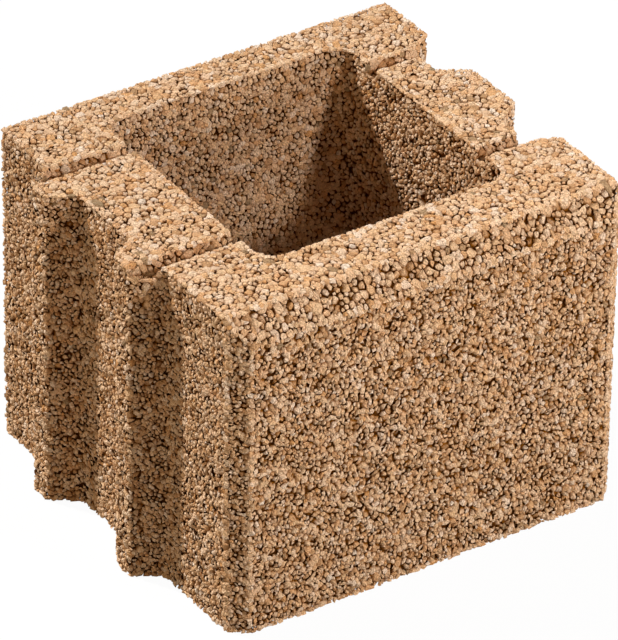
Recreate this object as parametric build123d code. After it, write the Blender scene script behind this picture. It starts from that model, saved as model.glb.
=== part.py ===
from build123d import *
import os

# Hollow half block of pressed, open-textured concrete, with tongues on one end and grooves on the other.
# Millimetres. X runs along the front face, Y to the back, Z up. The origin is under the middle of the block.

# Outer body: length is taken between the plain parts of the two ends, without the tongues
length = 250.0
height = 197.0

# Walls round the cell, from the front to the back and from the tongue end to the groove end
front_shell = 48.0
cell_depth = 160.0
back_shell = 25.0
tongue_web = 49.0
groove_web = 46.0

# The cell was moulded by a core with round corners, which narrows downwards on each side to come free
cell_corner_radius = 13.0
core_draft = 2.0

# Tongues of the one end, evenly set about the middle of the cell
tongue_depth = 16.0
tongue_root = 36.0
tongue_tip = 14.0
tongue_spacing = 84.0

# Room left round a tongue in the next block's groove
groove_side_play = 3.5
groove_end_play = 1.5

# Soft edges of tongues and grooves
tongue_edge_radius = 3.0

# Bevels of the face side: back along the top and down the face, and the same both ways at its two corners
top_bevel_run = 14.0
top_bevel_drop = 14.0
corner_bevel = 10.0

# Slots that the two bars of the core left across the tops of the webs
bar_slot_width = 10.0
bar_slot_floor = 6.0
bar_slot_depth = 7.0
bar_slot_spacing = 104.0

# How far a cutting solid reaches past the face that it opens
overrun = 5.0

width = front_shell + cell_depth + back_shell
tongue_end = (tongue_depth - length) / 2
groove_end = tongue_end + length
front_face = -width / 2
back_face = front_face + width
cell_length = length - tongue_web - groove_web
cell_x = tongue_end + tongue_web + cell_length / 2
cell_y = front_face + front_shell + cell_depth / 2
groove_depth = tongue_depth + groove_end_play
groove_mouth = tongue_root + 2 * groove_side_play
groove_floor = tongue_tip + 2 * groove_side_play


def tongue_section(root, tip, depth):
    """Outline of a tongue that points along -X from its root on the Y axis."""
    return Polygon((0, -root / 2), (0, root / 2), (-depth, tip / 2), (-depth, -tip / 2), align=None)


def both_tongues(section, x):
    """The section twice, as far apart as the tongues, with its root at the given end of the block."""
    places = [Pos(x, cell_y - tongue_spacing / 2), Pos(x, cell_y + tongue_spacing / 2)]
    return [place * section for place in places]


def plan_outline():
    """The block seen from above, without the cell."""
    plan = Polygon(
        (tongue_end + corner_bevel, front_face),
        (groove_end - corner_bevel, front_face),
        (groove_end, front_face + corner_bevel),
        (groove_end, back_face),
        (tongue_end, back_face),
        (tongue_end, front_face + corner_bevel),
        align=None,
    )
    plan = plan + both_tongues(tongue_section(tongue_root, tongue_tip, tongue_depth), tongue_end)
    plan = plan - both_tongues(tongue_section(groove_mouth, groove_floor, groove_depth), groove_end)
    edges_of_tongues = [v for v in plan.vertices() if abs(v.Y - cell_y) < tongue_spacing]
    return fillet(edges_of_tongues, tongue_edge_radius)


def cell_core():
    """The core that leaves the cell: full size at the top, narrower by the draft at the bottom."""
    low_length = cell_length - 2 * core_draft
    low_depth = cell_depth - 2 * core_draft
    top = RectangleRounded(cell_length, cell_depth, cell_corner_radius)
    bottom = RectangleRounded(low_length, low_depth, cell_corner_radius - core_draft)
    middle = Pos(cell_x, cell_y)
    tapered = loft([middle * bottom, middle * Pos(0, 0, height) * top])
    mouth = middle * Pos(0, 0, height) * extrude(top, overrun)
    floor = middle * extrude(bottom, -overrun)
    return tapered + mouth + floor


def bar_along_x(section, start, end):
    """A bar from start to end along X, with its section drawn in Y and Z."""
    across = Plane(origin=(start, 0, 0), x_dir=(0, 1, 0), z_dir=(1, 0, 0))
    return extrude(across * section, end - start)


def top_bevel_cutter():
    """Wedge that takes the top edge off the face side, reaching past it on the slope of the bevel."""
    slope = top_bevel_drop / top_bevel_run
    section = Polygon(
        (front_face - overrun, height - top_bevel_drop - slope * overrun),
        (front_face + top_bevel_run + overrun, height + slope * overrun),
        (front_face - overrun, height + slope * overrun),
        align=None,
    )
    return bar_along_x(section, tongue_end - overrun, groove_end + overrun)


def bar_slots():
    """Two slots with sloping sides, right across both webs."""
    slope = (bar_slot_width - bar_slot_floor) / 2 / bar_slot_depth
    mouth = bar_slot_width / 2 + slope * overrun
    section = Polygon(
        (-bar_slot_floor / 2, height - bar_slot_depth),
        (bar_slot_floor / 2, height - bar_slot_depth),
        (mouth, height + overrun),
        (-mouth, height + overrun),
        align=None,
    )
    slot = bar_along_x(section, tongue_end - tongue_depth - overrun, groove_end + overrun)
    return [Pos(0, cell_y + side * bar_slot_spacing / 2) * slot for side in (-1, 1)]


block = extrude(plan_outline(), height)
block = block - cell_core() - top_bevel_cutter() - bar_slots()

os.makedirs("parts", exist_ok=True)
export_step(block, "parts/hollow_block.step")
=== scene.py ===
import math

import bpy
import numpy as np
from mathutils import Matrix, Vector, bvhtree, kdtree, noise


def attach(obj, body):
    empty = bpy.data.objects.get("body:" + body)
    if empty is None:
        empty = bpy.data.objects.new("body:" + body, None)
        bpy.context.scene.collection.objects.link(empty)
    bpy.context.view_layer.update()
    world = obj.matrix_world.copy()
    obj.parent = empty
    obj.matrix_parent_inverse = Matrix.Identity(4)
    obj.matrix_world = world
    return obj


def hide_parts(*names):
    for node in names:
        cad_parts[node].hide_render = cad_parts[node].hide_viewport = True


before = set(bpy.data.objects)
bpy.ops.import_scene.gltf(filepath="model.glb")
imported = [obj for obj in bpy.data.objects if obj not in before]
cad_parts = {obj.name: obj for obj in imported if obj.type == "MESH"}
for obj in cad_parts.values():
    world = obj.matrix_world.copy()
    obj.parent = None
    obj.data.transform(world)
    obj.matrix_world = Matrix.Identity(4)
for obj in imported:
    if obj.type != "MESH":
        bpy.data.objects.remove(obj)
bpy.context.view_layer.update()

# Cement paste: the binder deep between the outermost grains of the block, which shows only in the gaps. Its
# dark brown is painted shade, standing in for the shade of the deep pores.
# It was pressed with the stones in one mould, so it has the block's form, each face drawn in under them.
MM = 0.001
paste_depth = 2.4 * MM
paste_mottle_size = 3 * MM
# Corners that agree to this many decimals of a metre are one corner.
weld_decimals = 7
# Faces at a corner that differ by less than this share count as one flat face.
flat_share = 0.02
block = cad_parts["hollow_block"]


def welded_triangles(mesh):
    """Corners and triangles of a mesh, with corners that share a place made one."""
    places = np.empty(len(mesh.vertices) * 3)
    mesh.vertices.foreach_get("co", places)
    corners, same = np.unique(places.reshape(-1, 3).round(weld_decimals), axis=0, return_inverse=True)
    mesh.calc_loop_triangles()
    triangles = np.empty(len(mesh.loop_triangles) * 3, int)
    mesh.loop_triangles.foreach_get("vertices", triangles)
    triangles = same.reshape(-1)[triangles.reshape(-1, 3)]
    a, b, c = triangles.T
    return corners, triangles[(a != b) & (b != c) & (c != a)]


def outward(corners, triangles):
    """Unit normal and area of each triangle."""
    a, b, c = (corners[triangles[:, i]] for i in range(3))
    across = np.cross(b - a, c - a)
    double = np.linalg.norm(across, axis=1)
    return across / double[:, None], double / 2


def drawn_in(corners, triangles, depth):
    """The corners moved so that each face around them lies that deep under its old place."""
    normals, areas = outward(corners, triangles)
    weight = np.sqrt(areas)
    planes = np.zeros((len(corners), 3, 3))
    pull = np.zeros((len(corners), 3))
    for i in range(3):
        np.add.at(planes, triangles[:, i], weight[:, None, None] * normals[:, :, None] * normals[:, None, :])
        np.add.at(pull, triangles[:, i], -depth * weight[:, None] * normals)
    solved = np.linalg.pinv(planes, rcond=flat_share, hermitian=True)
    return corners + np.einsum("nij,nj->ni", solved, pull)


def new_piece(name, corners, triangles, material):
    """A flat-shaded mesh object of the block's concrete that moves with the block."""
    mesh = bpy.data.meshes.new(name)
    mesh.vertices.add(len(corners))
    mesh.vertices.foreach_set("co", np.ascontiguousarray(corners, np.float32).ravel())
    mesh.loops.add(triangles.size)
    mesh.loops.foreach_set("vertex_index", np.ascontiguousarray(triangles, np.int32).ravel())
    mesh.polygons.add(len(triangles))
    mesh.polygons.foreach_set("loop_start", np.arange(0, triangles.size, 3, dtype=np.int32))
    mesh.polygons.foreach_set("use_smooth", np.zeros(len(triangles), bool))
    mesh.update(calc_edges=True)
    mesh.materials.append(material)
    piece = bpy.data.objects.new(name, mesh)
    bpy.context.scene.collection.objects.link(piece)
    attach(piece, "root")
    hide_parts("hollow_block")
    return piece


def linear(hex_colour):
    """A hex sRGB colour as linear RGBA."""
    parts = [int(hex_colour[i : i + 2], 16) / 255 for i in (1, 3, 5)]
    return [p / 12.92 if p <= 0.04045 else ((p + 0.055) / 1.055) ** 2.4 for p in parts] + [1.0]


def new_tree(owner):
    """The empty node tree of a new material or world."""
    owner.use_nodes = True
    owner.node_tree.nodes.clear()
    return owner.node_tree


def add_node(tree, kind, settings, inputs):
    """A shader node with its settings and its inputs, each a value or another node's output."""
    node = tree.nodes.new(kind)
    for name, value in settings.items():
        setattr(node, name, value)
    for name, value in inputs.items():
        if isinstance(value, bpy.types.NodeSocket):
            tree.links.new(value, node.inputs[name])
        else:
            node.inputs[name].default_value = value
    return node


# Cement paste, dull and wholly matt, painted dark brown as shade, so the eye sees a warm dark line where no
# light gets in.
shade_paste_material = bpy.data.materials.new("paste_painted_shade")
tree = new_tree(shade_paste_material)
where = add_node(tree, "ShaderNodeTexCoord", {}, {})
paste_mottle = add_node(
    tree,
    "ShaderNodeTexNoise",
    {},
    {"Vector": where.outputs["Object"], "Scale": 1 / paste_mottle_size, "Detail": 3.0},
)
stops = add_node(tree, "ShaderNodeValToRGB", {}, {"Fac": paste_mottle.outputs["Fac"]})
# Painted shade: these dark browns stand in for the shade deep in the pores between the grains, mottled at
# random.
stops.color_ramp.elements[0].color = linear("#40220a")
stops.color_ramp.elements[1].color = linear("#603814")
matt = add_node(tree, "ShaderNodeBsdfDiffuse", {}, {"Color": stops.outputs["Color"]})
add_node(tree, "ShaderNodeOutputMaterial", {}, {"Surface": matt.outputs["BSDF"]})

corners, triangles = welded_triangles(block.data)
new_piece("paste_painted_shade", drawn_in(corners, triangles, paste_depth), triangles, shade_paste_material)

# Grains: crushed stone of a few grades with a film of tan cement, packed by the press so that the outermost
# lie flush with the mould. Large ones are set first and smaller ones fill the room between them.
# Each grade: middle radius in mm, how many to a square centimetre at most, and sides of a grain's outline.
coarse = [(3.1, 0.8, 6), (2.5, 1.8, 6), (2.0, 2.6, 6), (1.55, 3.0, 5), (1.15, 5.0, 4)]
middling = [(2.3, 0.8, 6), (1.85, 2.4, 5), (1.45, 4.5, 5), (1.1, 5.0, 4)]
crumbly = [(2.6, 0.5, 6), (2.1, 1.5, 6), (1.7, 3.2, 5), (1.3, 4.0, 5), (1.0, 4.0, 4)]
fine = [(2.4, 0.3, 6), (1.9, 1.2, 5), (1.5, 3.2, 5), (1.2, 5.0, 4), (0.95, 6.0, 4)]
# The tamper closes the top, and the core the sides of the cell, while the face, the ends and the cell's ends
# stay open. Each face: its grades, how far the grains fill the room between them, mean depth that they lie
# sunk, tilt, and how far a grain's shoulder falls away at most, in its radius.
face_kinds = {
    "top": (coarse, 1.17, 0.16 * MM, 0.11, 0.40),
    "bevels": (coarse, 1.14, 0.28 * MM, 0.17, 0.50),
    "front": (crumbly, 1.13, 0.30 * MM, 0.32, 0.85),
    "tongue_end": (fine, 1.13, 0.36 * MM, 0.32, 0.80),
    "cell_sides": (middling, 1.08, 0.17 * MM, 0.12, 0.40),
    "cell_ends": (middling, 1.02, 0.32 * MM, 0.20, 0.60),
    "groove_end": (fine, 1.13, 0.36 * MM, 0.32, 0.80),
    "back": (crumbly, 1.13, 0.30 * MM, 0.32, 0.85),
    "underside": (coarse, 1.20, 0.20 * MM, 0.12, 0.40),
}
# Edges of the block are filled first, since the press packs the mould's corners too.
edge_grades = [(1.5, 9.0, 5), (1.1, 9.0, 4)]
edge_reach = 0.35 * MM
sharp_cosine = 0.8
# Two grains keep this share of their radii apart, and one grows towards its neighbours to this many radii.
grain_nearness = (0.66, 1.0)
grain_reach = 1.7
neighbours = 9
facing_least = 0.15
tries_per_mm2 = 1.3
# A grain's outline: how its corners stray round it, and how its fill, girth and shoulder vary.
corner_shift = 0.25
fill_spread = 0.29
girth_spread = (0.76, 1.18)
shoulder_spread = (0.62, 0.98)
# A grain's profile, in its radius: how its crown and girth stray from their level, and where its foot lies.
crown_rise = (-0.10, 0.15)
girth_rise = (-0.3, 0.1)
foot_drop = 0.9
# Grains lie deeper in loose spots of this width, by this swing, and none deeper than the most.
pit_width = 6 * MM
pit_swing = 1.4
pit_least = 0.1
sunk_most = 0.9 * MM
# Faces that lie this near the cell's middle, along the block and across it, are its walls. The rest are told
# apart by their slopes.
cell_middle = (9.5 * MM, 11.5 * MM)
cell_reach = (83 * MM, 86 * MM)
end_slope = 0.3
bevel_slope = 0.15
level_slope = 0.9
underside_slope = 0.5
rng = np.random.default_rng(7)
mould = bvhtree.BVHTree.FromPolygons(corners.tolist(), triangles.tolist())


def edge_heights():
    """Each triangle corner's height over the side across from it, or endless where that is no sharp edge."""
    normals, areas = outward(corners, triangles)
    heights = np.full(triangles.shape, np.inf)
    other_side = {}
    for t, triangle in enumerate(triangles):
        for k in range(3):
            ends = frozenset((triangle[k - 1], triangle[k - 2]))
            if ends in other_side:
                t_2, k_2 = other_side[ends]
                below = corners[triangle[k]] - corners[triangle[k - 1]]
                if normals[t] @ normals[t_2] < sharp_cosine and below @ normals[t_2] < 0:
                    a, b = (corners[end] for end in ends)
                    heights[t, k] = 2 * areas[t] / np.linalg.norm(b - a)
                    heights[t_2, k_2] = 2 * areas[t_2] / np.linalg.norm(b - a)
            other_side[ends] = t, k
    return heights


def set_grains(faces, grades, laid, reach):
    """Lays grains (centre, radius, sides, triangle) on faces, or only near sharp edges if given a reach."""
    areas = outward(corners, triangles)[1][faces]
    area_mm2 = areas.sum() / MM**2
    count = int(area_mm2 * tries_per_mm2)
    chosen = faces[np.searchsorted(areas.cumsum() / areas.sum(), rng.random(count)).clip(0, len(areas) - 1)]
    u, v = rng.random((2, count))
    over = u + v > 1
    u[over], v[over] = 1 - u[over], 1 - v[over]
    share = np.stack([1 - u - v, u, v], 1)
    close = (share * heights[chosen]).min(1) < reach if reach else np.ones(count, bool)
    share, chosen, count = share[close], chosen[close], close.sum()
    for radius_mm, per_cm2, sides in grades:
        radius = radius_mm * MM
        skin = drawn_in(corners, triangles, radius)
        spots = np.einsum("nk,nkj->nj", share, skin[triangles[chosen]])
        near = kdtree.KDTree(count)
        for i, spot in enumerate(spots):
            near.insert(spot, i)
        near.balance()
        free = np.ones(count, bool)
        for centre, other, _, _ in laid:
            apart = rng.uniform(*grain_nearness) * (radius + other)
            free[[i for _, i, _ in near.find_range(centre, apart)]] = False
        room = int(per_cm2 * area_mm2 / 100)
        for i in rng.permutation(count):
            if free[i] and room > 0:
                apart = rng.uniform(*grain_nearness) * 2 * radius
                free[[j for _, j, _ in near.find_range(spots[i], apart)]] = False
                laid.append((spots[i], radius, sides, chosen[i]))
                room -= 1


def pressed_flush(points):
    """The points, set back on the block's faces where they stand out, and how deep each then lies."""
    depths = np.zeros(len(points))
    for i, point in enumerate(points):
        place, normal, _, distance = mould.find_nearest(point)
        if normal.dot(Vector(point) - place) > 0:
            points[i] = place
        else:
            depths[i] = distance
    return points, depths


def room_around(chosen, east, north, directions):
    """How far each chosen grain reaches in each direction before it meets those beside it on its face."""
    beside = np.array([[i for _, i, _ in packed.find_n(centres[grain], neighbours)][1:] for grain in chosen])
    offsets = centres[beside] - centres[chosen][:, None]
    x = np.einsum("nmj,nj->nm", offsets, east)
    y = np.einsum("nmj,nj->nm", offsets, north)
    share = radii[chosen][:, None] / (radii[chosen][:, None] + radii[beside])
    same_face = np.einsum("nmj,nj->nm", slopes[under[beside]], slopes[under[chosen]]) > sharp_cosine
    halfway = np.where(same_face, np.hypot(x, y) * share, np.inf)
    towards = np.cos(directions[:, :, None] - np.arctan2(y, x)[:, None, :])
    meets = halfway[:, None, :] / np.maximum(towards, facing_least)
    reach = np.where(towards > facing_least, meets, np.inf).min(2)
    return np.minimum(reach, grain_reach * radii[chosen][:, None])


def grain_shells(chosen, sides, fill, sunk, tilt, fall):
    """Corners, triangles and corner depths of closed, uneven grains with crown, shoulder, girth and foot."""
    normals = slopes[under[chosen]]
    count = len(chosen)
    one, ring = (count, 1), (count, sides)
    radius = radii[chosen][:, None]
    upright = np.where(np.abs(normals[:, 2:]) < level_slope, [[0.0, 0.0, 1.0]], [[1.0, 0.0, 0.0]])
    east = np.cross(upright, normals)
    east /= np.linalg.norm(east, axis=1)[:, None]
    north = np.cross(normals, east)
    step = 2 * math.pi / sides
    corners_at = step * (np.arange(sides) + rng.uniform(-corner_shift, corner_shift, ring))
    girth_at = corners_at + rng.uniform(0, 2 * math.pi, one)
    shoulder_at = girth_at + step / 2
    size = rng.uniform(fill - fill_spread, fill + fill_spread, one)
    girth = size * room_around(chosen, east, north, girth_at) * rng.uniform(*girth_spread, ring)
    shoulder = size * room_around(chosen, east, north, shoulder_at) * rng.uniform(*shoulder_spread, ring)
    middle = np.zeros(one)
    x = np.concatenate([middle, shoulder * np.cos(shoulder_at), girth * np.cos(girth_at), middle], 1)
    y = np.concatenate([middle, shoulder * np.sin(shoulder_at), girth * np.sin(girth_at), middle], 1)
    loose = np.array([[noise.noise(Vector(centre) / pit_width)] for centre in centres[chosen]])
    pits = np.maximum(pit_least, 1 + pit_swing * loose)
    top = radius - np.minimum(rng.exponential(sunk, one) * pits, sunk_most)
    crown_lift = top + radius * rng.uniform(*crown_rise, one)
    shoulder_lift = top - radius * rng.uniform(0.0, fall, ring)
    girth_lift = radius * rng.uniform(*girth_rise, ring)
    lift = np.concatenate([crown_lift, shoulder_lift, girth_lift, -foot_drop * radius], 1)
    tip = rng.normal(0, tilt, (2, count, 1))
    lift += tip[0] * x + tip[1] * y
    shells = centres[chosen][:, None] + x[..., None] * east[:, None] + y[..., None] * north[:, None]
    shells += lift[..., None] * normals[:, None]
    shells, depths = pressed_flush(shells.reshape(-1, 3))
    foot = 1 + 2 * sides
    faces = []
    for i in range(sides):
        j = (i + 1) % sides
        shoulder_i, shoulder_j, girth_i, girth_j = 1 + i, 1 + j, 1 + sides + i, 1 + sides + j
        faces += [(0, shoulder_i, shoulder_j), (shoulder_i, girth_j, shoulder_j)]
        faces += [(shoulder_i, girth_i, girth_j), (girth_j, girth_i, foot)]
    joined = np.array(faces)[None] + (foot + 1) * np.arange(count)[:, None, None]
    return shells, joined.reshape(-1, 3), depths


def face_names(normals, centres):
    """The name of the block's face that each triangle belongs to, from its normal and its centre."""
    in_cell = (np.abs(centres[:, :2] - cell_middle) < cell_reach).all(1)
    names = np.where(normals[:, 1] < 0, "front", "back").astype(object)
    names[normals[:, 0] < -end_slope] = "tongue_end"
    names[normals[:, 0] > end_slope] = "groove_end"
    lengthwise = np.abs(normals[in_cell, 0]) > np.abs(normals[in_cell, 1])
    names[in_cell] = np.where(lengthwise, "cell_ends", "cell_sides")
    names[normals[:, 2] > bevel_slope] = "bevels"
    names[normals[:, 2] > level_slope] = "top"
    names[normals[:, 2] < -underside_slope] = "underside"
    return names


# Pressed aggregate concrete gives the eye dry, matt stones that differ a little from each other: common tan,
# some paler, a few dark and a few ochre. Their skin is sandy lumps of 2.2 mm, with painted shade, a warm
# brown, in the creases between the lumps and on grain sides that lie deep between the grains. Sand of half a
# millimetre is too fine to show, so it is drawn at 1 mm.
sand_size = 1.0 * MM
crumb_size = 2.2 * MM
skin_relief = 0.8 * MM
shade_from, shade_full = 0.55 * MM, 1.8 * MM
stone_tones = [
    (0.00, "#a38b6c"),
    (0.03, "#cda176"),
    (0.14, "#e2b182"),
    (0.28, "#f0cdaa"),
    (0.42, "#eabd8e"),
    (0.58, "#f4d5b4"),
    (0.74, "#ecc396"),
    (0.90, "#f8dfc6"),
    (0.95, "#dea56a"),
    (0.98, "#eec9a2"),
    (1.00, "#f2dfca"),
]
# Painted shade: a warm brown mixed onto grain sides by how deep they lie under the face, and onto the
# creases between the sandy lumps, where shade falls.
crevice_shade_colour = linear("#86500e")
aggregate = bpy.data.materials.new("pressed_aggregate_concrete")
tree = new_tree(aggregate)
tone = add_node(tree, "ShaderNodeAttribute", {"attribute_name": "grain_tone"}, {})
stone = add_node(tree, "ShaderNodeValToRGB", {}, {"Fac": tone.outputs["Fac"]})
for position, _ in stone_tones[1:-1]:
    stone.color_ramp.elements.new(position)
for element, (position, colour) in zip(stone.color_ramp.elements, stone_tones):
    element.position = position
    element.color = linear(colour)
where = add_node(tree, "ShaderNodeTexCoord", {}, {})
sand = add_node(
    tree,
    "ShaderNodeTexNoise",
    {},
    {"Vector": where.outputs["Object"], "Scale": 1 / sand_size, "Detail": 2.0},
)
crumbs = add_node(
    tree,
    "ShaderNodeTexVoronoi",
    {"feature": "DISTANCE_TO_EDGE"},
    {"Vector": where.outputs["Object"], "Scale": 1 / crumb_size},
)
speckle = add_node(
    tree,
    "ShaderNodeMapRange",
    {},
    {"Value": sand.outputs["Fac"], "From Min": 0.3, "From Max": 0.7, "To Min": 0.72, "To Max": 1.20},
)
speckled = add_node(
    tree,
    "ShaderNodeVectorMath",
    {"operation": "SCALE"},
    {"Vector": stone.outputs["Color"], "Scale": speckle.outputs["Result"]},
)
# Painted shade by depth: corners that lie deeper under the face get more of the brown.
buried = add_node(tree, "ShaderNodeAttribute", {"attribute_name": "grain_depth"}, {})
deep = add_node(
    tree,
    "ShaderNodeMapRange",
    {},
    {
        "Value": buried.outputs["Fac"],
        "From Min": shade_from,
        "From Max": shade_full,
        "To Min": 0.0,
        "To Max": 1.0,
    },
)
# Painted shade in the creases: near the edges of the lumps, where the bump sinks, some brown is mixed in.
# The larger of the two shades is used.
hollow = add_node(
    tree,
    "ShaderNodeMapRange",
    {},
    {"Value": crumbs.outputs["Distance"], "From Min": 0.0, "From Max": 0.10, "To Min": 0.3, "To Max": 0.0},
)
painted_shade = add_node(
    tree,
    "ShaderNodeMath",
    {"operation": "MAXIMUM"},
    {0: deep.outputs["Result"], 1: hollow.outputs["Result"]},
)
shaded_stone = add_node(
    tree,
    "ShaderNodeMixRGB",
    {},
    {"Fac": painted_shade.outputs["Value"], "Color1": speckled.outputs["Vector"], "Color2": crevice_shade_colour},
)
crumb = add_node(
    tree,
    "ShaderNodeMapRange",
    {},
    {"Value": crumbs.outputs["Distance"], "From Min": 0.0, "From Max": 0.22, "To Min": 0.0, "To Max": 0.35},
)
skin = add_node(
    tree,
    "ShaderNodeMath",
    {"operation": "ADD"},
    {0: crumb.outputs["Result"], 1: sand.outputs["Fac"]},
)
relief = add_node(
    tree,
    "ShaderNodeBump",
    {},
    {"Strength": 1.0, "Distance": skin_relief, "Height": skin.outputs["Value"]},
)
surface = add_node(
    tree,
    "ShaderNodeBsdfPrincipled",
    {},
    {
        "Base Color": shaded_stone.outputs["Color"],
        "Roughness": 0.9,
        "IOR": 1.5,
        "Specular IOR Level": 0.1,
        "Normal": relief.outputs["Normal"],
    },
)
add_node(tree, "ShaderNodeOutputMaterial", {}, {"Surface": surface.outputs["BSDF"]})

slopes = outward(corners, triangles)[0]
names = face_names(slopes, corners[triangles].mean(1))
heights = edge_heights()
laid = []
for name in face_kinds:
    set_grains(np.flatnonzero(names == name), edge_grades, laid, edge_reach)
for name, (grades, *_) in face_kinds.items():
    set_grains(np.flatnonzero(names == name), grades, laid, None)
centres, radii, sides_of, under = (np.array(values) for values in zip(*laid))
packed = kdtree.KDTree(len(centres))
for i, centre in enumerate(centres):
    packed.insert(centre, i)
packed.balance()
for name, (_, *press) in face_kinds.items():
    shells, faces, tones, depths, base = [], [], [], [], 0
    for sides in sorted(set(sides_of)):
        chosen = np.flatnonzero((names[under] == name) & (sides_of == sides))
        shell, face, depth = grain_shells(chosen, sides, *press)
        shells.append(shell)
        faces.append(face + base)
        depths.append(depth)
        tones.append(np.repeat(rng.random(len(chosen)), 2 * sides + 2))
        base += len(shell)
    piece = new_piece("grains_" + name, np.concatenate(shells), np.concatenate(faces), aggregate)
    for label, values in (("grain_tone", tones), ("grain_depth", depths)):
        attribute = piece.data.attributes.new(label, "FLOAT", "POINT")
        attribute.data.foreach_set("value", np.concatenate(values).astype(np.float32))

# Floor: a white studio table that the block stands on, with its soft shadow.
# White table top: matt, and the camera sees it nearly as white as the backdrop.
floor_reach = 20.0
table_seen_white = 0.86
floor_mesh = bpy.data.meshes.new("floor")
floor_corners = [(x * floor_reach, y * floor_reach, 0) for x, y in ((-1, -1), (1, -1), (1, 1), (-1, 1))]
floor_mesh.from_pydata(floor_corners, [], [(0, 1, 2, 3)])
floor = bpy.data.objects.new("floor", floor_mesh)
bpy.context.scene.collection.objects.link(floor)
table_top = bpy.data.materials.new("white_table")
tree = new_tree(table_top)
path = add_node(tree, "ShaderNodeLightPath", {}, {})
seen = add_node(
    tree,
    "ShaderNodeMath",
    {"operation": "MULTIPLY"},
    {0: path.outputs["Is Camera Ray"], 1: table_seen_white},
)
matt = add_node(tree, "ShaderNodeBsdfDiffuse", {}, {"Color": linear("#909090")})
glow = add_node(tree, "ShaderNodeEmission", {}, {"Color": linear("#ffffff"), "Strength": 1.12})
blend = add_node(
    tree,
    "ShaderNodeMixShader",
    {},
    {0: seen.outputs["Value"], 1: matt.outputs["BSDF"], 2: glow.outputs["Emission"]},
)
add_node(tree, "ShaderNodeOutputMaterial", {}, {"Surface": blend.outputs["Shader"]})
floor_mesh.materials.append(table_top)

# Light: a lamp high at the back left, which throws the tongues' shadows along the end, a small soft one over
# the front that reaches into the cell, a low white card at the front right, a warm card at the left end, and
# the faint even light of the room.
key_direction = Vector((0.352, -0.617, -0.705))
key = bpy.data.lights.new("key", "SUN")
key.energy = 3.7
key.angle = math.radians(2.5)
key_lamp = bpy.data.objects.new("key", key)
key_lamp.rotation_euler = key_direction.to_track_quat("-Z", "Y").to_euler()
bpy.context.scene.collection.objects.link(key_lamp)

# Each soft lamp: place and width in metres, power in watts, and colour. All face the block's middle.
block_middle = Vector((0, 0, 0.1))
soft_lamps = {
    "fill": ((0.30, -1.11, 0.90), 0.14, 9.4, "#fff9f4"),
    "front_card": ((1.27, -1.63, 0.38), 0.8, 19.8, "#fff9f4"),
    "side_card": ((-2.2, -0.3, 0.6), 1.5, 10.5, "#ffe0b0"),
}
for name, (place, width, watts, colour) in soft_lamps.items():
    soft = bpy.data.lights.new(name, "AREA")
    soft.shape = "DISK"
    soft.size = width
    soft.energy = watts
    soft.color = linear(colour)[:3]
    lamp = bpy.data.objects.new(name, soft)
    lamp.location = place
    lamp.rotation_euler = (block_middle - Vector(place)).to_track_quat("-Z", "Y").to_euler()
    bpy.context.scene.collection.objects.link(lamp)

room = bpy.data.worlds.new("room")
bpy.context.scene.world = room
tree = new_tree(room)
path = add_node(tree, "ShaderNodeLightPath", {}, {})
room_light = add_node(tree, "ShaderNodeBackground", {}, {"Color": linear("#ffe6c4"), "Strength": 0.08})
backdrop = add_node(tree, "ShaderNodeBackground", {}, {"Color": linear("#ffffff"), "Strength": 1.0})
either = add_node(
    tree,
    "ShaderNodeMixShader",
    {},
    {
        0: path.outputs["Is Camera Ray"],
        1: room_light.outputs["Background"],
        2: backdrop.outputs["Background"],
    },
)
add_node(tree, "ShaderNodeOutputWorld", {}, {"Surface": either.outputs["Shader"]})

# Camera: a long lens from the front left and above, rolled by a degree as the photograph is.
eye = Vector((-1.6428, -2.4364, 2.0341))
yaw, pitch, roll = math.radians(34.09), math.radians(33.39), math.radians(0.95)
ahead = Vector((math.sin(yaw) * math.cos(pitch), math.cos(yaw) * math.cos(pitch), -math.sin(pitch)))
level = Vector((math.cos(yaw), -math.sin(yaw), 0))
above = level.cross(ahead)
right = math.cos(roll) * level + math.sin(roll) * above
up = -math.sin(roll) * level + math.cos(roll) * above
lens = bpy.data.cameras.new("camera")
lens.sensor_width = 36
lens.lens = 366
camera = bpy.data.objects.new("camera", lens)
camera.matrix_world = Matrix.Translation(eye) @ Matrix((right, up, -ahead)).transposed().to_4x4()
bpy.context.scene.collection.objects.link(camera)
bpy.context.scene.camera = camera
bpy.context.scene.view_settings.view_transform = "Standard"
